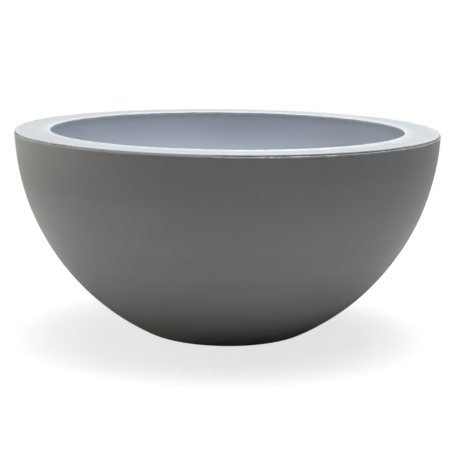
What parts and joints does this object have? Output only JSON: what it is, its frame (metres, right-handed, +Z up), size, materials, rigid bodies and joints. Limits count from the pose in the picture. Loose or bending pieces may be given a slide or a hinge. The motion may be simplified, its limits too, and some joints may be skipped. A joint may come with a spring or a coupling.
{
  "type": "planter bowl",
  "caption": "Low round planter bowl with a double skin, a wide flat rim, a flat foot on soft pads, and a central drain fitting with a lift-out plug.",
  "frame": {"origin": "on the ground under the middle of the bowl, at the lowest face of the foot pads", "axes": "+Z up along the bowl's axis of revolution; -Y is the side that faces the camera in the picture"},
  "size_m": [0.5599, 0.56, 0.276],
  "materials": {
    "outer_skin": "matte grey coat on a moulded composite skin",
    "inner_skin": "matte grey coat on a moulded composite skin",
    "fitting": "satin moulded plastic",
    "seal": "matte soft rubber",
    "plug": "matte soft rubber",
    "pad": "matte soft rubber"
  },
  "bodies": {
    "pot": {"outer_shell": "outer_skin", "inner_bowl": "inner_skin", "drain_bush": "fitting", "seal_washer": "seal", "drain_nut": "fitting", "foot_pads": "pad"},
    "plug": {"drain_plug": "plug"}
  },
  "joints": [
    {"name": "plug_lift", "type": "slide", "parent": "pot", "child": "plug", "axis": [0, 0, 1], "range_m": [0, 0.28]}
  ]
}
